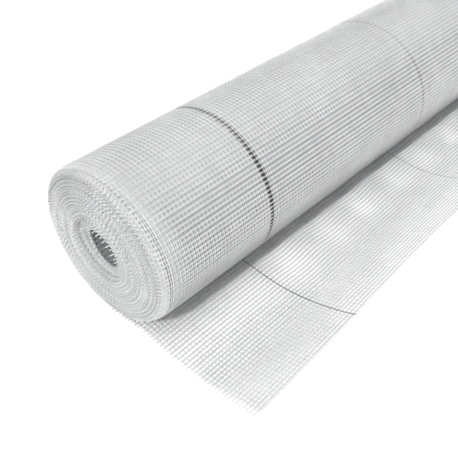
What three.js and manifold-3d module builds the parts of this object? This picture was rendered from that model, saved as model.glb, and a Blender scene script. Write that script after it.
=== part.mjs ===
// A roll of white glass-fibre mesh, lying on its side with its free end drawn out flat beside it.
// Millimetres, +Z up. X runs along the roll, and the free end lies towards -Y.
// The origin is on the floor, below the roll's centre line and half way along the roll.
// The fabric is one continuous piece: a wound body with an open bore, and the free end that leaves it
// at the bottom. Its open weave is finer than this model, which fills the fabric's full outline.
import * as THREE from 'three';
import { mergeVertices } from 'three/addons/utils/BufferGeometryUtils.js';
import Module from 'manifold-3d';

// Driving dimensions
const fabricWidth = 1000;        // along the roll, edge to edge
const fabricThickness = 0.46;
const rollRadius = 90;           // of the wound body, before it sags
const boreRadius = 27.5;
const sag = 2.5;                 // the lying roll is this much lower and wider than a true circle
const freeEndReach = 205;        // over the floor, from the line where the fabric leaves the roll

// The roll is wound in turns, and groups of them stand out of the end or sit back in it.
// Each row is the share of the wound wall at which the group ends, and how far it sits back.
// The fabric has one width, so a group that stands out at the near end sits back at the far end.
const turnGroups = [
  [0.05, 6.0],
  [0.18, -5.6],
  [0.31, -3.8],
  [0.45, -4.6],
  [0.58, -2.6],
  [0.71, -3.2],
  [0.83, -1.2],
  [0.92, -0.2],
  [0.97, 2.6],
  [1.0, 6.0],
];

// The free end swells a little where it leaves the roll, comes down to the floor, and curls up towards
// its cut edge, as it was wound. It curls less at its near edge.
const tuckedUnder = 4;           // of the free end, on the far side of the leaving line
const restingStrip = 12;         // flat on the floor, measured from the leaving line
const swellHeight = 5;
const swellCrest = 50;           // from the leaving line
const swellLength = 144;         // from one high place of the swell to the next, along the roll
const firstHighPlace = 70;       // from the near edge
const landing = 100;             // where it comes down, from the leaving line
const curlHeight = 38;           // of the cut edge above the floor
const nearCurlHeight = 21;
const curlGrows = 340;           // from the near edge to where the curl is at its full height

// How finely the surfaces are divided
const roundSegments = 64;
const freeEndColumns = 40;
const freeEndRows = 15;

const wasm = await Module();
wasm.setup();

const meshFabric = new THREE.MeshStandardMaterial({
  name: 'coated_glass_mesh', color: 0xdfe0e0, roughness: 0.55, metalness: 0.0,
});

function toSolid(geometry) {
  const bare = geometry.clone();
  bare.deleteAttribute('normal');
  bare.deleteAttribute('uv');
  const merged = mergeVertices(bare, 1e-4);
  return new wasm.Manifold(new wasm.Mesh({
    numProp: 3,
    vertProperties: new Float32Array(merged.attributes.position.array),
    triVerts: new Uint32Array(merged.index.array),
  }));
}

function toGeometry(solid) {
  const mesh = solid.getMesh();
  const geometry = new THREE.BufferGeometry();
  geometry.setAttribute('position', new THREE.BufferAttribute(mesh.vertProperties, 3));
  geometry.setIndex(new THREE.BufferAttribute(mesh.triVerts, 1));
  geometry.computeVertexNormals();
  return geometry;
}

// The wound body's half section, as radius and place along the roll: out along the near end, group by
// group, and back along the far end, which has the same steps.
function woundProfile() {
  const wall = rollRadius - boreRadius;
  const nearEnd = [];
  let inner = boreRadius;
  for (const [share, setBack] of turnGroups) {
    const outer = boreRadius + wall * share;
    nearEnd.push([inner, setBack - fabricWidth / 2], [outer, setBack - fabricWidth / 2]);
    inner = outer;
  }
  const farEnd = nearEnd.map(([radius, place]) => [radius, place + fabricWidth]).reverse();
  const outline = [...nearEnd, ...farEnd, nearEnd[0]];
  return outline.map(([radius, place]) => new THREE.Vector2(radius, place));
}

// The wound body, turned about X with one facet flat at the bottom, then sagged into an oval.
function woundBody() {
  const turned = new THREE.LatheGeometry(woundProfile(), roundSegments, Math.PI / roundSegments);
  turned.rotateZ(-Math.PI / 2);
  turned.scale(1, (rollRadius + sag) / rollRadius, (rollRadius - sag) / rollRadius);
  turned.translate(0, 0, rollHeightOfAxis());
  return turned;
}

// The bottom facet lies inside the thickness of the fabric that runs on under the roll.
function rollHeightOfAxis() {
  return (rollRadius - sag) * Math.cos(Math.PI / roundSegments) + fabricThickness / 2;
}

function smooth(from, to, value) {
  const t = THREE.MathUtils.clamp((value - from) / (to - from), 0, 1);
  return t * t * (3 - 2 * t);
}

// Height of the free end's underside above the floor, `along` from its near edge and `out` from the
// leaving line.
function liftOfFreeEnd(along, out) {
  const high = 0.7 + 0.3 * Math.cos((2 * Math.PI * (along - firstHighPlace)) / swellLength);
  const across = smooth(restingStrip, swellCrest, out) * smooth(landing, swellCrest, out);
  const swell = swellHeight * high * across;
  const reach = Math.max(0, (out - landing) / (freeEndReach - landing));
  const curl = THREE.MathUtils.lerp(nearCurlHeight, curlHeight, smooth(0, curlGrows, along));
  return swell + curl * reach * reach;
}

// The free end as a thin closed sheet. It starts just under the roll, where it meets the bottom facet.
function freeEnd() {
  const nearEdge = -fabricWidth / 2;
  const outs = [-tuckedUnder];
  for (let row = 0; row <= freeEndRows; row += 1) {
    outs.push(restingStrip + ((freeEndReach - restingStrip) * row) / freeEndRows);
  }
  const positions = [];
  for (const thickness of [0, fabricThickness]) {
    for (const out of outs) {
      for (let column = 0; column <= freeEndColumns; column += 1) {
        const along = (fabricWidth * column) / freeEndColumns;
        positions.push(nearEdge + along, -out, liftOfFreeEnd(along, out) + thickness);
      }
    }
  }
  const perRow = freeEndColumns + 1;
  const perSide = perRow * outs.length;
  const index = [];
  const quad = (a, b, c, d) => index.push(a, b, c, a, c, d);
  for (let row = 0; row < outs.length - 1; row += 1) {
    for (let column = 0; column < freeEndColumns; column += 1) {
      const low = row * perRow + column;
      quad(low, low + 1, low + perRow + 1, low + perRow);
      quad(perSide + low, perSide + low + perRow, perSide + low + perRow + 1, perSide + low + 1);
    }
  }
  const wall = (a, b) => quad(a, b, perSide + b, perSide + a);
  for (let column = 0; column < freeEndColumns; column += 1) {
    const last = (outs.length - 1) * perRow + column;
    wall(column + 1, column);
    wall(last, last + 1);
  }
  for (let row = 0; row < outs.length - 1; row += 1) {
    const first = row * perRow;
    wall(first, first + perRow);
    wall(first + perRow + freeEndColumns, first + freeEndColumns);
  }
  const geometry = new THREE.BufferGeometry();
  geometry.setAttribute('position', new THREE.Float32BufferAttribute(positions, 3));
  geometry.setIndex(index);
  return geometry;
}

// One continuous fabric: the wound body and its free end are one solid.
function rollOfMesh() {
  const solid = toSolid(woundBody()).add(toSolid(freeEnd()));
  const roll = new THREE.Mesh(toGeometry(solid), meshFabric);
  roll.name = 'mesh_roll';
  return roll;
}

const model = new THREE.Group();
model.add(rollOfMesh());

export default model;
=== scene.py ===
"""Looks of the mesh roll: every yarn of its outer turns, its free end and the tips of its ends.

Sizes below are millimetres. The fabric is woven flat first, in its own coordinates: `across`
from its near edge to its far edge, `along` from where it leaves the roll (positive into the
roll, negative out to the cut edge) and `proud` from its middle towards the roll's outside.
Then it is laid where the real one lies: wound on the roll, or out on the floor.
"""

import math

import bpy
import numpy as np
from mathutils import Matrix


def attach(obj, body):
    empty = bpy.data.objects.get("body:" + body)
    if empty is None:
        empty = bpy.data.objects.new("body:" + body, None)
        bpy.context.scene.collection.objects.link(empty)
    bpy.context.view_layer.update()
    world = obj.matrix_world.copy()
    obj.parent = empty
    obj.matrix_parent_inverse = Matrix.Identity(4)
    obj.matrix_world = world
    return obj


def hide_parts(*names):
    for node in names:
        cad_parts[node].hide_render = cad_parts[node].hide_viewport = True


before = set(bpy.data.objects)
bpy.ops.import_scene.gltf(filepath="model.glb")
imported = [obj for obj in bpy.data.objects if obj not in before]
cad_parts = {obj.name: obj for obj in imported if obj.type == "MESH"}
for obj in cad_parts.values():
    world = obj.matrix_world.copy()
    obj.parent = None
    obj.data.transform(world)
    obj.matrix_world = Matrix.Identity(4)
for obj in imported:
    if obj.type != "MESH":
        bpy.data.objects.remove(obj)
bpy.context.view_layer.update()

MM = 0.001

# The wound body, as in the part's source
FABRIC_WIDTH = 1000.0
TURN = 0.46
OUTER_RADIUS = 90.0
BORE_RADIUS = 27.5
SAG = 2.5
FACETS = 64
WIDER = (OUTER_RADIUS + SAG) / OUTER_RADIUS
LOWER = (OUTER_RADIUS - SAG) / OUTER_RADIUS
AXIS_HEIGHT = (OUTER_RADIUS - SAG) * math.cos(math.pi / FACETS) + TURN / 2
NEAR_EDGE = -FABRIC_WIDTH / 2

# The weave
WEFT_PITCH = 5.0
WARP_PITCH = 5.1
FIRST_WARP = 2.6
WARPS = 196
LAST_WEFT = -212.5

# The free end, as in the part's source
RESTING_STRIP = 12.0
SWELL_CREST = 50.0
LANDING = 100.0
REACH = 205.0
CURL = 38.0
NEAR_CURL = 21.0
CURL_GROWS = 340.0
HIGH_PLACE = 62.0  # from the near edge to where its swell is highest
WAVE_LENGTH = 73.0  # of the waves in its swell, along the roll
MIDDLE_HEIGHT = 0.85  # of the fabric's middle, where it lies flat on the floor

# Marker yarns, by the warp that they replace
BLACK_WARP = 29
GREY_WARP = 88
BLACK_BAND = 2.8  # half the width over which the turns below show black


# Where the fabric lies


def smooth(start, end, value):
    t = np.clip((value - start) / (end - start), 0.0, 1.0)
    return t * t * (3 - 2 * t)


SET_BACK = np.array([
    # share of the wall, and how far a turn there sits back at the near end
    (0.000, 6.0), (0.02, 7.5), (0.05, 6.5), (0.09, 1.0), (0.13, -4.2), (0.18, -5.4), (0.24, -4.0),
    (0.31, -3.5), (0.36, -4.4), (0.42, -5.0), (0.45, -4.3), (0.52, -2.9), (0.60, -3.6), (0.65, -4.1),
    (0.71, -2.9), (0.77, -1.5), (0.83, -1.1), (0.88, -0.9), (0.92, 0.2), (0.96, 2.0), (1.00, 4.6),
])
RING_SPACING = 7 * TURN  # from one turn that stands out to the next


def ring_wave(radius, angle):
    """1 on the turns that stand out, and -1 on the ones between them."""
    uneven = 1.1 * np.sin(angle + 0.06 * radius) + 1.5 * np.sin(0.37 * radius)
    wave = np.cos(2 * math.pi * radius / RING_SPACING + uneven)
    return 2 * (0.5 + 0.5 * wave) ** 3 - 1


TEETH = math.radians(217)  # the innermost turns stand out on this side of the bore,
TEETH_STAND_OUT = 3.4  # by this much


def turn_shift(radius, angle):
    """How far a turn sits back at the near end, and so stands out at the far end."""
    share = (radius - BORE_RADIUS) / (OUTER_RADIUS - BORE_RADIUS)
    back = np.interp(share, SET_BACK[:, 0], SET_BACK[:, 1])
    side = smooth(-0.35, 0.35, np.cos(angle - TEETH))
    inner = smooth(0.13, 0.08, share) * side
    wander = 0.3 * np.sin(angle * 2.0 + radius * 0.21)
    return back * (1 - inner) - TEETH_STAND_OUT * inner + wander - 0.7 * ring_wave(radius, angle)


def turn_angle(along):
    """Angle wound from the leaving line to a place along the fabric, on a spiral of that pitch."""
    radius = OUTER_RADIUS - TURN / 2
    root = np.sqrt(np.maximum(radius * radius - TURN / math.pi * along, 1.0))
    return (radius - root) * 2 * math.pi / TURN


def radius_at(angle):
    return OUTER_RADIUS - TURN / 2 - TURN * angle / (2 * math.pi)


def droop(across, radius):
    """The outer turns slacken a little over the edge of the ends."""
    edge = np.minimum(across, FABRIC_WIDTH - across)
    return 1.7 * np.clip(1 - edge / 12.0, 0, 1) ** 2 * smooth(0.86, 1.0, radius / OUTER_RADIUS)


def on_roll(across, along, proud):
    """The fabric wound on the roll."""
    angle = turn_angle(along)
    middle = radius_at(angle)
    ripple = 0.12 * np.sin(across * 0.031 + 1.7 * np.sin(angle * 2.0) + 0.8)
    ripple = ripple + 0.1 * np.sin(across * 0.083 + angle * 3.1)
    radius = middle + proud - droop(across, middle) + ripple * smooth(0.96, 1.0, middle / OUTER_RADIUS)
    x = NEAR_EDGE + across + turn_shift(middle, angle)
    y = WIDER * radius * np.sin(angle)
    z = AXIS_HEIGHT - LOWER * radius * np.cos(angle)
    return x, y, z


def lift(across, out):
    """Height of the free end's underside above the floor."""
    high = 2.6 + 3.2 * np.exp(-(((across - HIGH_PLACE) / HIGH_PLACE) ** 2))
    swell = high * smooth(RESTING_STRIP, SWELL_CREST, out) * smooth(LANDING, SWELL_CREST, out)

    # Farther along the roll the swell breaks into waves, which fade towards the leaving line and the curl
    wave = np.cos((across - 238.0 + 0.12 * out) * 2 * math.pi / WAVE_LENGTH)
    wave = wave + 0.5 * np.cos(across * 0.047 + 1.0)
    fade = smooth(110, 200, across) * smooth(24, 58, out) * smooth(190, 70, out)
    swell = swell + 1.7 * (1 + wave) * fade
    reach = np.clip((out - LANDING) / (REACH - LANDING), 0, None)
    curl = NEAR_CURL + (CURL - NEAR_CURL) * smooth(0.0, CURL_GROWS, across)
    return swell + curl * reach**1.85


def out_table(columns, rows):
    """How far over the floor each place along the free end reaches, by columns across it."""
    step = 0.5
    out = np.arange(0.0, 236.0, step)
    table = np.zeros((len(columns), len(rows)))
    for i, across in enumerate(columns):
        rise = np.diff(lift(np.full_like(out, across), out))
        arc = np.concatenate([[0.0], np.cumsum(np.hypot(step, rise))])
        table[i] = np.interp(rows, arc, out)
    return table


COLUMN_SPACING = 10.0
FLOOR_COLUMNS = np.arange(-10.0, 1011.0, COLUMN_SPACING)  # across the free end
FLOOR_ROWS = np.arange(0.0, 226.0, 1.0)  # along it, from the leaving line
OUT = out_table(FLOOR_COLUMNS, FLOOR_ROWS)


def on_floor(across, along, proud):
    """The free end, out on the floor. Its outside is its underside."""
    column = np.clip((across - FLOOR_COLUMNS[0]) / COLUMN_SPACING, 0, len(FLOOR_COLUMNS) - 1.001)
    row = np.clip(-along, 0, len(FLOOR_ROWS) - 1.001)
    i, j = column.astype(int), row.astype(int)
    p, q = column - i, row - j
    near = OUT[i, j] * (1 - q) + OUT[i, j + 1] * q
    far = OUT[i + 1, j] * (1 - q) + OUT[i + 1, j + 1] * q
    out = near * (1 - p) + far * p
    out = np.where(along > 0, -along, out)
    slope = lift(across, out + 0.5) - lift(across, out - 0.5)
    steep = np.sqrt(1 + slope * slope)
    drawn_out = 0.36 * lift(across, out) * smooth(220.0, 0.0, across) * smooth(60.0, 130.0, out)
    x = NEAR_EDGE + across - drawn_out + 0.35 * np.sin(across * 0.06 + out * 0.02)
    y = -out + proud * slope / steep
    z = lift(across, out) + MIDDLE_HEIGHT - proud / steep
    return x, y, z


# Weaving


def node(tree, kind, inputs=(), **settings):
    """A new node with its inputs linked or set, by name or number."""
    made = tree.nodes.new(kind)
    for key, value in settings.items():
        setattr(made, key, value)
    for socket, value in dict(inputs).items():
        if isinstance(value, bpy.types.NodeSocket):
            tree.links.new(value, made.inputs[socket])
        else:
            made.inputs[socket].default_value = value
    return made


def sums(tree, operation, a, b=None, c=None):
    """The output of a math node."""
    given = {i: v for i, v in enumerate((a, b, c)) if v is not None}
    return node(tree, "ShaderNodeMath", given, operation=operation).outputs[0]


def plus(tree, a, b):
    return sums(tree, "ADD", a, b)


def minus(tree, a, b):
    return sums(tree, "SUBTRACT", a, b)


def times(tree, a, b):
    return sums(tree, "MULTIPLY", a, b)


def yarns_tree():
    """Side by side yarns, each a closed tube of few sides, with the seam and ends welded."""
    tree = bpy.data.node_groups.new("yarns", "GeometryNodeTree")
    socket = tree.interface.new_socket
    socket("Geometry", in_out="INPUT", socket_type="NodeSocketGeometry")
    for name in ("Yarns", "Steps", "Sides", "Seed"):
        socket(name, in_out="INPUT", socket_type="NodeSocketInt")
    for name in ("Step Length", "Start", "Spacing", "Half Width", "Half Thickness"):
        socket(name, in_out="INPUT", socket_type="NodeSocketFloat")
    for name in ("Sway", "Proud", "Unevenness", "Length Spread"):
        socket(name, in_out="INPUT", socket_type="NodeSocketFloat")
    socket("Material", in_out="INPUT", socket_type="NodeSocketMaterial")
    socket("Geometry", in_out="OUTPUT", socket_type="NodeSocketGeometry")
    given = node(tree, "NodeGroupInput").outputs

    # A grid with one row for each side of each yarn, cut apart between the yarns
    rings = plus(tree, given["Steps"], 2)
    rows_each = plus(tree, given["Sides"], 1)
    rows = times(tree, rows_each, given["Yarns"])
    last_row = minus(tree, rows, 1)
    rings_and_one = plus(tree, rings, 1)
    grid = node(
        tree,
        "GeometryNodeMeshGrid",
        {"Size X": rings, "Size Y": last_row, "Vertices X": rings_and_one, "Vertices Y": rows},
    )
    place = node(tree, "ShaderNodeSeparateXYZ", {0: node(tree, "GeometryNodeInputPosition").outputs[0]})
    row = plus(tree, place.outputs["Y"], times(tree, last_row, 0.5))
    yarn_of_face = sums(tree, "MODULO", sums(tree, "FLOOR", row), rows_each)
    between = sums(tree, "COMPARE", yarn_of_face, given["Sides"], 0.1)
    cut = node(
        tree,
        "GeometryNodeDeleteGeometry",
        {0: grid.outputs["Mesh"], "Selection": between},
        domain="FACE",
    )

    # Which yarn, which side and which ring each point belongs to
    ring = plus(tree, place.outputs["X"], times(tree, rings, 0.5))
    ring = sums(tree, "FLOOR", plus(tree, ring, 0.5))
    whole_row = sums(tree, "FLOOR", plus(tree, row, 0.5))
    yarn = sums(tree, "FLOOR", sums(tree, "DIVIDE", plus(tree, whole_row, 0.5), rows_each))
    side = minus(tree, whole_row, times(tree, yarn, rows_each))
    last_ring = minus(tree, rings, 1)
    step = minus(tree, sums(tree, "MINIMUM", sums(tree, "MAXIMUM", ring, 1), last_ring), 1)
    past_end = sums(tree, "ABSOLUTE", minus(tree, ring, plus(tree, step, 1)))
    body = minus(tree, 1, sums(tree, "MINIMUM", 1, past_end))
    chance = node(
        tree,
        "FunctionNodeRandomValue",
        {"ID": yarn, "Seed": given["Seed"], "Min": (-1, -1, -1), "Max": (1, 1, 1)},
        data_type="FLOAT_VECTOR",
    )
    odds = node(tree, "ShaderNodeSeparateXYZ", {0: chance.outputs[0]})
    turn = times(tree, sums(tree, "DIVIDE", side, given["Sides"]), 2 * math.pi)
    swing = minus(tree, 1, times(tree, 2, sums(tree, "MODULO", step, 2)))

    # Where each point comes to lie in the flat fabric
    wide = times(tree, given["Half Width"], body)
    wide = times(tree, wide, sums(tree, "COSINE", turn))
    thick = times(tree, given["Half Thickness"], body)
    thick = times(tree, thick, sums(tree, "SINE", turn))
    last = sums(tree, "GREATER_THAN", step, minus(tree, given["Steps"], 0.5))
    first = sums(tree, "LESS_THAN", step, 0.5)
    longer = times(tree, last, odds.outputs["X"])
    ends = minus(tree, longer, times(tree, first, odds.outputs["Y"]))
    run = plus(tree, times(tree, step, given["Step Length"]), given["Start"])
    run = plus(tree, run, times(tree, ends, given["Length Spread"]))
    sideways = times(tree, yarn, given["Spacing"])
    sideways = plus(tree, sideways, times(tree, odds.outputs["Z"], given["Unevenness"]))
    sideways = plus(tree, plus(tree, sideways, wide), times(tree, swing, given["Sway"]))
    proud = plus(tree, thick, given["Proud"])
    point = node(tree, "ShaderNodeCombineXYZ", {0: run, 1: sideways, 2: proud})
    chart = node(
        tree,
        "ShaderNodeCombineXYZ",
        {0: times(tree, run, 0.02), 1: sums(tree, "DIVIDE", side, given["Sides"]), 2: 0.0},
    )
    charted = node(
        tree,
        "GeometryNodeStoreNamedAttribute",
        {0: cut.outputs[0], "Name": "UVMap", "Value": chart.outputs[0]},
        data_type="FLOAT2",
        domain="CORNER",
    )
    shade = node(
        tree,
        "GeometryNodeStoreNamedAttribute",
        {0: charted.outputs[0], "Name": "yarn_shade", "Value": odds.outputs["X"]},
        data_type="FLOAT",
        domain="POINT",
    )
    placed = node(tree, "GeometryNodeSetPosition", {0: shade.outputs[0], "Position": point.outputs[0]})
    welded = node(tree, "GeometryNodeMergeByDistance", {0: placed.outputs[0], "Distance": 0.004})
    rounded = node(tree, "GeometryNodeSetShadeSmooth", {0: welded.outputs[0]})
    real = node(tree, "GeometryNodeRealizeInstances", {0: rounded.outputs[0]})
    painted = node(tree, "GeometryNodeSetMaterial", {0: real.outputs[0], "Material": given["Material"]})
    node(tree, "NodeGroupOutput", {0: painted.outputs[0]})
    return tree


YARNS = yarns_tree()


def woven(name, values):
    """The mesh of one set of yarns, flat."""
    seed = bpy.data.objects.new(name, bpy.data.meshes.new(name))
    bpy.context.collection.objects.link(seed)
    modifier = seed.modifiers.new("yarns", "NODES")
    modifier.node_group = YARNS
    ids = {i.name: i.identifier for i in YARNS.interface.items_tree if i.in_out == "INPUT"}
    for key, value in values.items():
        modifier[ids[key]] = value
    bpy.context.view_layer.update()
    graph = bpy.context.evaluated_depsgraph_get()
    mesh = bpy.data.meshes.new_from_object(
        seed.evaluated_get(graph), preserve_all_data_layers=True, depsgraph=graph
    )
    bpy.data.objects.remove(seed)
    return mesh


def volume(mesh):
    """Less than 0 where a closed mesh is inside out."""
    mesh.calc_loop_triangles()
    co = np.empty(len(mesh.vertices) * 3)
    mesh.vertices.foreach_get("co", co)
    tri = np.empty(len(mesh.loop_triangles) * 3, int)
    mesh.loop_triangles.foreach_get("vertices", tri)
    a, b, c = (co.reshape(-1, 3)[tri.reshape(-1, 3)[:, k]] for k in range(3))
    return float((a * np.cross(b, c)).sum() / 6)


def laid(name, sets):
    """One piece of several yarn sets, each woven flat and then laid by its own `place`."""
    parts = []
    for place, direction, values in sets:
        mesh = woven(name, values)
        co = np.empty(len(mesh.vertices) * 3)
        mesh.vertices.foreach_get("co", co)
        run, sideways, proud = co.reshape(-1, 3).T
        across, along = (run, sideways) if direction == "weft" else (sideways, run)
        x, y, z = place(across, along, proud)
        mesh.vertices.foreach_set("co", (np.stack([x, y, z], 1) * MM).ravel())
        mesh.update()
        if volume(mesh) < 0:
            mesh.flip_normals()
        part = bpy.data.objects.new(name, mesh)
        bpy.context.collection.objects.link(part)
        parts.append(part)
    return joined(name, parts)


def joined(name, parts):
    piece = parts[0]
    if len(parts) > 1:
        with bpy.context.temp_override(
            active_object=piece, selected_editable_objects=parts, selected_objects=parts
        ):
            bpy.ops.object.join()
    piece.name = name
    return piece


# Finishes


def shader_group(name, ins, outs):
    group = bpy.data.node_groups.new(name, "ShaderNodeTree")
    for label, kind, value in ins:
        socket = group.interface.new_socket(label, in_out="INPUT", socket_type=kind)
        socket.default_value = value
    for label, kind in outs:
        group.interface.new_socket(label, in_out="OUTPUT", socket_type=kind)
    return group, node(group, "NodeGroupInput").outputs, node(group, "NodeGroupOutput")


def mixed_color(tree, share, start, end):
    """A colour between two others. `share` is 0 at the first and 1 at the second."""
    start, end = ((*c, 1) if isinstance(c, tuple) else c for c in (start, end))
    return node(tree, "ShaderNodeMix", {0: share, 6: start, 7: end}, data_type="RGBA").outputs[2]


def ranged(tree, value, start, end, at_start, at_end):
    """`at_start` where the value is `start` or less, `at_end` where it is `end` or more."""
    limits = {0: value, 1: start, 2: end, 3: at_start, 4: at_end}
    return node(tree, "ShaderNodeMapRange", limits).outputs[0]


def noise(tree, where, scale, detail):
    return node(tree, "ShaderNodeTexNoise", {"Vector": where, "Scale": scale, "Detail": detail}).outputs[0]


def raised(tree, shader, height, strength, distance):
    """Small relief on a surface, `distance` high in metres."""
    bump = node(tree, "ShaderNodeBump", {"Height": height, "Strength": strength, "Distance": distance})
    tree.links.new(bump.outputs[0], shader.inputs["Normal"])


def fibre_strand_group():
    """Fine filaments lying along a yarn, and soft unevenness of its coating."""
    group, given, out = shader_group(
        "fibre_strand",
        [
            ("Light", "NodeSocketColor", (0.7, 0.7, 0.7, 1)),
            ("Dark", "NodeSocketColor", (0.5, 0.5, 0.5, 1)),
            ("Filaments", "NodeSocketFloat", 26.0),
        ],
        [("Color", "NodeSocketColor"), ("Roughness", "NodeSocketFloat"), ("Height", "NodeSocketFloat")],
    )
    chart = node(group, "ShaderNodeUVMap", uv_map="UVMap")
    drawn = node(group, "ShaderNodeSeparateXYZ", {0: chart.outputs[0]})
    across = times(group, drawn.outputs["Y"], given["Filaments"])
    line = node(group, "ShaderNodeCombineXYZ", {0: drawn.outputs["X"], 1: across, 2: 0.0})
    filaments = noise(group, line.outputs[0], 1.0, 2.0)
    where = node(group, "ShaderNodeTexCoord")
    coating = noise(group, where.outputs["Object"], 60.0, 2.0)
    shade = node(group, "ShaderNodeAttribute", attribute_name="yarn_shade")
    fine = times(group, filaments, 0.45)
    mixed = plus(group, fine, times(group, coating, 0.55))
    mixed = plus(group, mixed, times(group, shade.outputs["Fac"], 0.08))
    light = ranged(group, mixed, 0.32, 0.68, 0.0, 1.0)
    color = mixed_color(group, light, given["Dark"], given["Light"])
    rough = ranged(group, mixed, 0.3, 0.7, 0.62, 0.46)
    group.links.new(color, out.inputs["Color"])
    group.links.new(rough, out.inputs["Roughness"])
    group.links.new(filaments, out.inputs["Height"])
    return group


FIBRE_STRAND = fibre_strand_group()


def fresh_material(name):
    """A material with only a surface and its output."""
    material = bpy.data.materials.new(name)
    material.use_nodes = True
    material.node_tree.nodes.clear()
    tree = material.node_tree
    shader = node(tree, "ShaderNodeBsdfPrincipled")
    node(tree, "ShaderNodeOutputMaterial", {0: shader.outputs[0]})
    return material, tree, shader


def coated_yarn(name, light, dark, specular):
    """Glass yarn in a soft coating, between two tones."""
    material, tree, shader = fresh_material(name)
    strand = node(tree, "ShaderNodeGroup", node_tree=FIBRE_STRAND)
    strand.inputs["Light"].default_value = (*light, 1)
    strand.inputs["Dark"].default_value = (*dark, 1)
    raised(tree, shader, strand.outputs["Height"], 0.3, 0.0001)
    tree.links.new(strand.outputs["Color"], shader.inputs["Base Color"])
    tree.links.new(strand.outputs["Roughness"], shader.inputs["Roughness"])
    shader.inputs["Specular IOR Level"].default_value = specular
    return material


def turn_rings_group():
    """Rings of turns on an end of the roll, by distance from its axis: 0 in a groove, 1 on a ridge."""
    group, _, out = shader_group("turn_rings", [], [("Ridge", "NodeSocketFloat")])
    where = node(group, "ShaderNodeTexCoord")
    spot = node(group, "ShaderNodeSeparateXYZ", {0: where.outputs["Object"]})
    flat_y = sums(group, "DIVIDE", spot.outputs["Y"], WIDER * MM)
    above_axis = minus(group, spot.outputs["Z"], AXIS_HEIGHT * MM)
    flat_z = sums(group, "DIVIDE", above_axis, LOWER * MM)
    squares = plus(group, sums(group, "POWER", flat_y, 2.0), sums(group, "POWER", flat_z, 2.0))
    radius = sums(group, "SQRT", squares)
    angle = sums(group, "ARCTAN2", flat_y, times(group, flat_z, -1.0))

    # The same rings as ring_wave's
    around = plus(group, angle, times(group, radius, 0.06))
    bend = times(group, sums(group, "SINE", around), 1.1)
    drift = times(group, sums(group, "SINE", times(group, radius, 0.37)), 1.5)
    phase = plus(group, times(group, radius, 2 * math.pi / RING_SPACING), bend)
    phase = plus(group, phase, drift)
    fine = plus(group, times(group, sums(group, "COSINE", phase), 0.5), 0.5)

    # Broader bands of turns that were wound tighter or looser, darker or lighter with the same painted
    # groove shade
    oval = times(group, sums(group, "SINE", times(group, angle, 2.0)), 0.9)
    winding = plus(group, radius, oval)
    broad = node(
        group,
        "ShaderNodeTexNoise",
        {"W": winding, "Scale": 0.16, "Detail": 3.0},
        noise_dimensions="1D",
    )
    mixed = plus(group, times(group, fine, 0.5), times(group, broad.outputs[0], 1.1))
    group.links.new(ranged(group, mixed, 0.4, 1.15, 0.0, 1.0), out.inputs["Ridge"])
    return group


TURN_RINGS = turn_rings_group()


def painted_groove_shade(tree, shader, share):
    """Darkens a finish in the grooves between the turns that stand out, as painted shade."""
    rings = node(tree, "ShaderNodeGroup", node_tree=TURN_RINGS)
    color = shader.inputs["Base Color"].links[0].from_socket
    shade = ranged(tree, rings.outputs["Ridge"], 0.0, 1.0, 1.0 - share, 1.0)
    darker = node(tree, "ShaderNodeVectorMath", {0: color}, operation="SCALE")
    tree.links.new(shade, darker.inputs["Scale"])
    tree.links.new(darker.outputs[0], shader.inputs["Base Color"])


WHITE_YARN = coated_yarn("white_coated_yarn", (0.80, 0.805, 0.81), (0.68, 0.685, 0.69), 0.4)
# Painted shade: the same white yarn, painted darker for the turn below the outermost one
UNDER_YARN = coated_yarn("yarn_of_the_turn_below", (0.70, 0.705, 0.71), (0.56, 0.565, 0.57), 0.3)
# Painted shade: the free end's thick wefts are painted darker than its warps, for the shadow along them
FREE_WEFT = coated_yarn("free_end_weft", (0.52, 0.525, 0.53), (0.42, 0.425, 0.43), 0.4)
FREE_WARP = coated_yarn("free_end_warp", (0.78, 0.785, 0.79), (0.68, 0.685, 0.69), 0.4)
# Painted shade: the same white yarn, painted dark where it lies in the dim bore
BORE_YARN = coated_yarn("yarn_in_the_bore", (0.26, 0.265, 0.27), (0.19, 0.195, 0.20), 0.2)
TIP_YARN = coated_yarn("cut_yarn_tips", (0.71, 0.715, 0.72), (0.59, 0.595, 0.60), 0.3)
# Painted shade in the grooves between the turns on the ends of the roll
painted_groove_shade(TIP_YARN.node_tree, TIP_YARN.node_tree.nodes["Principled BSDF"], 0.4)
BLACK_YARN = coated_yarn("black_marker_yarn", (0.05, 0.05, 0.053), (0.025, 0.025, 0.026), 0.4)
GREY_YARN = coated_yarn("grey_marker_yarn", (0.46, 0.465, 0.47), (0.36, 0.365, 0.37), 0.4)


def bore_wall_material():
    """The innermost turns under the last one, painted dark as painted shade of the dim bore, with a random
    mottle.
    """
    material, tree, shader = fresh_material("bore_wall")
    where = node(tree, "ShaderNodeTexCoord")
    mottle = noise(tree, where.outputs["Object"], 260.0, 3.0)
    # Painted shade of the dim bore, mottled at random
    color = mixed_color(tree, mottle, (0.10, 0.102, 0.105), (0.30, 0.305, 0.31))
    tree.links.new(color, shader.inputs["Base Color"])
    shader.inputs["Roughness"].default_value = 0.7
    return material


def lattice(tree, chart, across_pitch, along_pitch, shift):
    """A mask of one turn's yarns, 1 on a yarn, from a chart in millimetres."""
    drawn = node(tree, "ShaderNodeSeparateXYZ", {0: chart})

    def line(coordinate, pitch, offset, wide):
        phase = plus(tree, sums(tree, "DIVIDE", coordinate, pitch), offset)
        away = sums(tree, "ABSOLUTE", minus(tree, sums(tree, "FRACT", phase), 0.5))
        return ranged(tree, away, wide, wide + 0.09, 1.0, 0.0)

    warp = line(drawn.outputs["X"], across_pitch, shift, 0.15)
    weft = line(drawn.outputs["Y"], along_pitch, shift * 1.7, 0.13)
    return sums(tree, "MAXIMUM", warp, weft)


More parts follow.
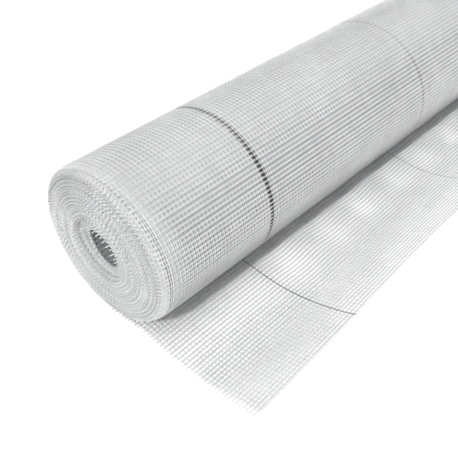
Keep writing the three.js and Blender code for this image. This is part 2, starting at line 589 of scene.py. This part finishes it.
def stacked_turns_material():
    """The turns under the modelled ones: yarn over yarn, with painted shade on the turns below and in the
    cells, darkest where the cells line up.
    """
    material, tree, shader = fresh_material("stacked_turns")
    chart = node(tree, "ShaderNodeUVMap", uv_map="UVMap").outputs[0]
    top = lattice(tree, chart, WARP_PITCH, WEFT_PITCH, 0.15)
    second = lattice(tree, chart, WARP_PITCH, WEFT_PITCH * 0.9949, 0.55)
    third = lattice(tree, chart, WARP_PITCH, WEFT_PITCH * 0.9897, 0.85)
    # Painted shade: each turn below is painted darker than the one above it, and the cells darkest
    depth = sums(tree, "MAXIMUM", top, times(tree, second, 0.66))
    depth = sums(tree, "MAXIMUM", depth, times(tree, third, 0.4))
    where = node(tree, "ShaderNodeTexCoord")
    spot = node(tree, "ShaderNodeSeparateXYZ", {0: where.outputs["Object"]})
    # Painted shade: away from the near end the turns and cells are painted darker, as if less light
    # reached them there
    far_shaded_depth = times(tree, depth, ranged(tree, spot.outputs["X"], -0.42, -0.05, 1.0, 0.35))
    cells = mixed_color(tree, far_shaded_depth, (0.07, 0.071, 0.073), (0.24, 0.244, 0.25))

    # The black marker yarns of the turns below lie side by side, and show as one dark band
    center = NEAR_EDGE + FIRST_WARP + BLACK_WARP * WARP_PITCH + 5.0
    from_center = sums(tree, "ABSOLUTE", minus(tree, spot.outputs["X"], center * MM))
    band = ranged(tree, from_center, BLACK_BAND * MM, (BLACK_BAND + 0.8) * MM, 1.0, 0.0)
    black = times(tree, band, ranged(tree, spot.outputs["Z"], 0.150, 0.174, 0.95, 0.45))
    marked = mixed_color(tree, black, cells, (0.02, 0.02, 0.022))

    # Along the top the colour is painted lighter, as painted light where the light falls most, and at the
    # rims it is lighter too, so little of the painted shade in the cells shows there. Seen at a low angle
    # the cells close up, and their painted shade shows less as well.
    graze = node(tree, "ShaderNodeLayerWeight", {"Blend": 0.35}).outputs["Facing"]
    narrow = ranged(tree, graze, 0.3, 0.75, 0.0, 0.9)
    painted_top_light = ranged(tree, spot.outputs["Z"], 0.142, 0.170, 0.0, 0.6)
    rim = ranged(tree, sums(tree, "ABSOLUTE", spot.outputs["X"]), 0.462, 0.490, 0.0, 0.75)
    closed = sums(tree, "MAXIMUM", sums(tree, "MAXIMUM", narrow, painted_top_light), rim)
    closed = times(tree, closed, minus(tree, 1.0, black))
    lighter_cells = mixed_color(tree, depth, (0.30, 0.304, 0.31), (0.66, 0.665, 0.67))
    tree.links.new(mixed_color(tree, closed, marked, lighter_cells), shader.inputs["Base Color"])
    raised(tree, shader, depth, 0.8, 0.0006)
    shader.inputs["Roughness"].default_value = 0.6
    shader.inputs["Specular IOR Level"].default_value = 0.3
    return material


def turn_edges_material():
    """Edges of the turns on the ends, where each turn's outermost warp shows as a fine line."""
    material, tree, shader = fresh_material("turn_edges")
    chart = node(tree, "ShaderNodeUVMap", uv_map="UVMap").outputs[0]
    knots = noise(tree, chart, 0.8, 2.0)
    color = mixed_color(tree, knots, (0.42, 0.425, 0.43), (0.66, 0.665, 0.67))
    tree.links.new(color, shader.inputs["Base Color"])
    # Painted shade in the grooves between the turns
    painted_groove_shade(tree, shader, 0.5)
    raised(tree, shader, knots, 0.6, 0.0005)
    shader.inputs["Roughness"].default_value = 0.65
    return material


# The pieces
FIRST_TURN = 2 * math.pi * (OUTER_RADIUS - TURN)
FABRIC_LENGTH = math.pi * (OUTER_RADIUS**2 - BORE_RADIUS**2) / TURN
ROUND_WEFTS = int(FIRST_TURN / WEFT_PITCH)
CORE_SET_IN = 1.2  # how far the core's ends lie inside the fabric's edges


def turn_start(turn):
    """Where a turn starts along the fabric, counted from the outermost, which is 0."""
    outer = OUTER_RADIUS - TURN / 2
    return math.pi * (outer**2 - (outer - TURN * turn) ** 2) / TURN


def shifted(place, across_by, along_by, proud_by=0.0):
    """The same place, moved over the fabric."""
    return lambda across, along, proud: place(across + across_by, along + along_by, proud + proud_by)


def wefts(yarns, steps, material=WHITE_YARN, **more):
    """Wefts run across the fabric, and their tips stand a little past the last warp."""
    values = {
        "Yarns": yarns,
        "Steps": steps,
        "Sides": 4,
        "Seed": 3,
        "Step Length": (FABRIC_WIDTH + 1.2) / steps,
        "Start": -0.6,
        "Spacing": WEFT_PITCH,
        "Half Width": 0.42,
        "Half Thickness": 0.26,
        "Sway": 0.0,
        "Proud": 0.0,
        "Unevenness": 0.16,
        "Length Spread": 0.8,
        "Material": material,
    }
    values.update(more)
    return values


def warp_strand(yarns, steps, hand, material=WHITE_YARN, **more):
    """One strand of each warp pair. It crosses its partner in each cell, over or under the wefts."""
    values = {
        "Yarns": yarns,
        "Steps": steps,
        "Sides": 3,
        "Seed": 5,
        "Step Length": WEFT_PITCH,
        "Start": 0.0,
        "Spacing": WARP_PITCH,
        "Half Width": 0.34,
        "Half Thickness": 0.2,
        "Sway": 0.28 * hand,
        "Proud": 0.3 * hand,
        "Unevenness": 0.0,
        "Length Spread": 0.0,
        "Material": material,
    }
    values.update(more)
    return values


def warps(place, steps, make, white=WHITE_YARN):
    """Sets of warps from edge to edge, with the marker yarns in their places, a little deeper."""
    sets = []
    runs = ((0, BLACK_WARP), (BLACK_WARP + 1, GREY_WARP), (GREY_WARP + 1, WARPS))
    for start, end in runs:
        where = shifted(place, FIRST_WARP + start * WARP_PITCH, 0.0)
        sets.append((where, "warp", make(end - start, steps, white)))
    for warp, material in ((BLACK_WARP, BLACK_YARN), (GREY_WARP, GREY_YARN)):
        where = shifted(place, FIRST_WARP + warp * WARP_PITCH, 0.0, -0.3)
        sets.append((where, "warp", make(1, steps, material)))
    return sets


def free_end():
    """The end that is drawn out on the floor, its wefts thick and its warp ends cut unevenly."""
    rows = int(round(-LAST_WEFT / WEFT_PITCH)) + 1
    thick = {"Half Width": 0.74, "Half Thickness": 0.76}
    strand = {"Half Width": 0.31, "Half Thickness": 0.31, "Length Spread": 0.8}
    sets = [(shifted(on_floor, 0.0, LAST_WEFT), "weft", wefts(rows, 98, FREE_WEFT, **thick))]
    for hand in (1, -1):
        sets += warps(
            shifted(on_floor, 0.0, LAST_WEFT - WEFT_PITCH / 2 - 0.5),
            rows,
            lambda yarns, steps, material: warp_strand(
                yarns, steps, hand, material, **strand, Proud=0.5 * hand
            ),
            white=FREE_WARP,
        )
    piece = laid("free_end", sets)
    return piece


def outer_turn(turn, hands, with_wefts, name, steps_long=1, white=WHITE_YARN):
    """A turn of the roll, or one hand of its warp strands. `steps_long` is how many cells a step spans."""
    # A turn that is wound a little looser has its wefts a little farther apart. They line up with the
    # outermost turn's low on the front, and drift apart from them towards the top.
    slack = 0.023 * turn
    start = turn_start(turn) - 2.1 if turn else WEFT_PITCH / 2
    sets = []
    if with_wefts:
        rows = wefts(
            ROUND_WEFTS - turn, 48, white, **{"Seed": 11 + turn, "Spacing": WEFT_PITCH + slack}
        )
        sets.append((shifted(on_roll, 0.0, start), "weft", rows))
    steps = int(ROUND_WEFTS / steps_long)

    def wide(material):
        """The black marker is a thick yarn."""
        if material is BLACK_YARN:
            return 0.8
        return 0.34 if turn == 0 else 0.5

    for hand in hands:
        sets += warps(
            shifted(on_roll, -0.5 * WARP_PITCH * turn, start - WEFT_PITCH / 2),
            steps,
            lambda yarns, count, material: warp_strand(
                yarns,
                count,
                hand,
                material,
                **{"Step Length": WEFT_PITCH * steps_long, "Half Width": wide(material)},
            ),
            white=white,
        )
    return laid(name, sets)


def bore_turn():
    """The innermost turn, with the edge warp that shows as a white ring."""
    start = FABRIC_LENGTH - 2 * math.pi * BORE_RADIUS - 12.0
    rows = int(2 * math.pi * BORE_RADIUS / WEFT_PITCH)
    # Its yarns carry the painted shade of the dim bore
    thick = wefts(rows, 24, BORE_YARN, **{"Seed": 21, "Half Width": 0.6})
    sets = [(shifted(on_roll, 0.0, start), "weft", thick)]
    sets += warps(
        shifted(on_roll, 0.0, start - WEFT_PITCH / 2),
        rows,
        lambda yarns, steps, material: warp_strand(yarns, steps, 1, material, **{"Half Width": 0.55}),
        white=BORE_YARN,
    )
    edge = warp_strand(1, rows + 2, 1, **{"Half Width": 0.5, "Half Thickness": 0.35, "Sway": 0.0})
    sets.append((shifted(on_roll, 0.4, start - WEFT_PITCH), "warp", edge))
    return laid("bore_turn", sets)


def bore_teeth():
    """Long weft tips that stand over the bore on one side of it."""
    start = (TEETH - math.pi * 0.55) * BORE_RADIUS

    def over_the_bore(across, along, proud):
        angle = (start + along) / BORE_RADIUS
        bent = 1.2 * np.clip(-across / 5.0, 0, 1) ** 1.5
        radius = BORE_RADIUS + 0.5 + proud - bent
        x = NEAR_EDGE - TEETH_STAND_OUT + across
        return x, WIDER * radius * np.sin(angle), AXIS_HEIGHT - LOWER * radius * np.cos(angle)

    count = int(math.pi * 1.1 * BORE_RADIUS / WEFT_PITCH)
    tooth = {
        "Step Length": 4.5,
        "Start": -4.0,
        "Half Width": 0.62,
        "Half Thickness": 0.4,
        "Unevenness": 0.5,
        "Length Spread": 0.9,
        "Seed": 8,
    }
    teeth = wefts(count, 2, TIP_YARN, **tooth)
    return laid("bore_teeth", [(over_the_bore, "weft", teeth)])


def weft_tips(name, far):
    """Tips of the wefts of every turn, which stand out of an end of the roll."""
    first = turn_start(2)
    count = int((FABRIC_LENGTH - first) / WEFT_PITCH) - 8
    tip = {
        "Step Length": 4.1,
        "Start": FABRIC_WIDTH - 3.2 if far else -0.9,
        "Sides": 3,
        "Half Width": 0.75,
        "Half Thickness": 0.36,
        "Unevenness": 0.2,
        "Length Spread": 0.4,
        "Seed": 31 + far,
    }

    def pushed(across, along, proud):
        """Handling has pushed each tip a little along its turn."""
        number = np.round(along / WEFT_PITCH)
        return on_roll(across, first + along + 0.7 * np.sin(number * 12.9), proud)

    return laid(name, [(pushed, "weft", wefts(count, 1, TIP_YARN, **tip))])


def core_section():
    """Radius and place across, out along the core's near end and back along its far one."""
    outer = OUTER_RADIUS - 2.6 * TURN
    inner = BORE_RADIUS + 1.1 * TURN
    radii = np.linspace(inner, outer, 104)
    wide = FABRIC_WIDTH - 2 * CORE_SET_IN
    near = [0.003, 0.006, 0.01, 0.015, 0.03, 0.1, 0.2, 0.35]
    far = [0.5, 0.65, 0.8, 0.9, 0.97, 0.985, 0.99, 0.994, 0.997]
    skin = wide * np.array(near + far)
    section = [(r, 0.0, True) for r in radii]
    section += [(outer, place, False) for place in skin]
    section += [(r, wide, True) for r in radii[::-1]]
    section += [(inner, place, False) for place in skin[::-2]]
    radius, across, on_end = (np.array(column) for column in zip(*section))
    return radius, across, on_end, wide


def wound_core():
    """The turns under the modelled ones, as one closed body of its own section."""
    around = 160
    rim = 7  # so near to an end, the outside shows the edges of the turns
    radius, across, on_end, wide = core_section()
    outside = radius > (BORE_RADIUS + OUTER_RADIUS) / 2
    stacked, edges, bore_wall = range(3)
    angle = (np.arange(around) * 2 * math.pi / around)[:, None]
    low = radius - droop(across + CORE_SET_IN, radius)
    x = NEAR_EDGE + CORE_SET_IN + across + turn_shift(radius[None, :], angle)
    y = WIDER * low * np.sin(angle)
    z = AXIS_HEIGHT - LOWER * low * np.cos(angle)
    co = np.stack([x, y, z], 2).reshape(-1, 3) * MM
    count = len(radius)
    faces, charts, kinds = [], [], []
    for i in range(around):
        j = (i + 1) % around
        for k in range(count):
            m = (k + 1) % count
            end = on_end[k] and on_end[m] and abs(across[k] - across[m]) < 1
            end = end or (outside[k] and not rim < (across[k] + across[m]) / 2 < wide - rim)
            faces.append((i * count + k, i * count + m, j * count + m, j * count + k))
            kinds.append(edges if end else stacked if outside[k] else bore_wall)
            for step, b in ((i, k), (i, m), (i + 1, m), (i + 1, k)):
                turned = step * 2 * math.pi / around * radius[b]
                charts.append((radius[b] if end else across[b] + CORE_SET_IN, turned))
    mesh = bpy.data.meshes.new("wound_core")
    mesh.from_pydata(co.tolist(), [], faces)
    layer = mesh.uv_layers.new(name="UVMap")
    layer.data.foreach_set("uv", np.array(charts, dtype=np.float32).ravel())
    for material in (stacked_turns_material(), turn_edges_material(), bore_wall_material()):
        mesh.materials.append(material)
    mesh.polygons.foreach_set("material_index", kinds)
    mesh.polygons.foreach_set("use_smooth", [True] * len(faces))
    mesh.update()
    if volume(mesh) < 0:
        mesh.flip_normals()
    piece = bpy.data.objects.new("wound_core", mesh)
    bpy.context.collection.objects.link(piece)
    return piece


# Stage, light and camera


def plain_floor():
    mesh = bpy.data.meshes.new("floor")
    side = 30.0
    corners = [(-side, -side, 0), (side, -side, 0), (side, side, 0), (-side, side, 0)]
    mesh.from_pydata(corners, [], [(0, 1, 2, 3)])
    material, tree, shader = fresh_material("plain_pale_floor")
    tone = node(tree, "ShaderNodeTexNoise", {"Scale": 0.5})
    color = mixed_color(tree, tone.outputs[0], (0.93, 0.93, 0.93), (0.95, 0.95, 0.95))
    tree.links.new(color, shader.inputs["Base Color"])
    shader.inputs["Roughness"].default_value = 0.9
    shader.inputs["Specular IOR Level"].default_value = 0.1
    mesh.materials.append(material)
    floor = bpy.data.objects.new("floor", mesh)
    bpy.context.collection.objects.link(floor)
    floor.location.z = -0.0002


def soft_light():
    world = bpy.data.worlds.new("white_room")
    bpy.context.scene.world = world
    world.use_nodes = True
    tree = world.node_tree
    where = node(tree, "ShaderNodeTexCoord")
    facing = node(tree, "ShaderNodeSeparateXYZ", {0: where.outputs["Generated"]})
    overhead = ranged(tree, facing.outputs["Z"], 0.0, 0.9, 0.77, 0.84)
    tree.nodes["Background"].inputs["Color"].default_value = (1, 1, 1, 1)
    tree.links.new(overhead, tree.nodes["Background"].inputs["Strength"])
    lamp = bpy.data.lights.new("key", "SUN")
    lamp.energy = 3.0
    lamp.angle = math.radians(4)
    key = bpy.data.objects.new("key", lamp)
    bpy.context.collection.objects.link(key)
    back = np.array([-0.80, -0.30, 0.88])  # from the roll towards the light
    back = back / np.linalg.norm(back)
    right = np.cross([0, 1, 0], back)
    right = right / np.linalg.norm(right)
    up = np.cross(back, right)
    key.matrix_world = Matrix([(right[i], up[i], back[i]) for i in range(3)]).to_4x4()


def photo_camera():
    data = bpy.data.cameras.new("camera")
    data.lens = 52.81
    data.sensor_width = 36.0
    data.clip_start = 0.05
    data.clip_end = 100
    camera = bpy.data.objects.new("camera", data)
    bpy.context.collection.objects.link(camera)
    right = (0.68106, -0.73217, 0.00882)
    up = (0.47522, 0.45115, 0.75540)
    ahead = (0.55706, 0.51028, -0.65521)
    turned = Matrix([(right[i], up[i], -ahead[i]) for i in range(3)]).to_4x4()
    turned.translation = (-0.77599, -0.42356, 0.54048)
    camera.matrix_world = turned
    bpy.context.scene.camera = camera


plain_floor()
soft_light()
photo_camera()
bpy.context.scene.view_settings.view_transform = "Standard"

core = wound_core()
pieces = [core, free_end()]
pieces.append(outer_turn(0, (1,), True, "outer_turn"))
pieces.append(outer_turn(0, (-1,), False, "outer_turn_crossing_strands"))
# The second turn, in its painted shade under the outer one
pieces.append(outer_turn(1, (1,), True, "second_turn", steps_long=2, white=UNDER_YARN))
pieces.append(bore_turn())
pieces.append(bore_teeth())
pieces.append(weft_tips("near_tips", False))
pieces.append(weft_tips("far_tips", True))
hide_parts("mesh_roll")
for piece in pieces:
    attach(piece, "root")
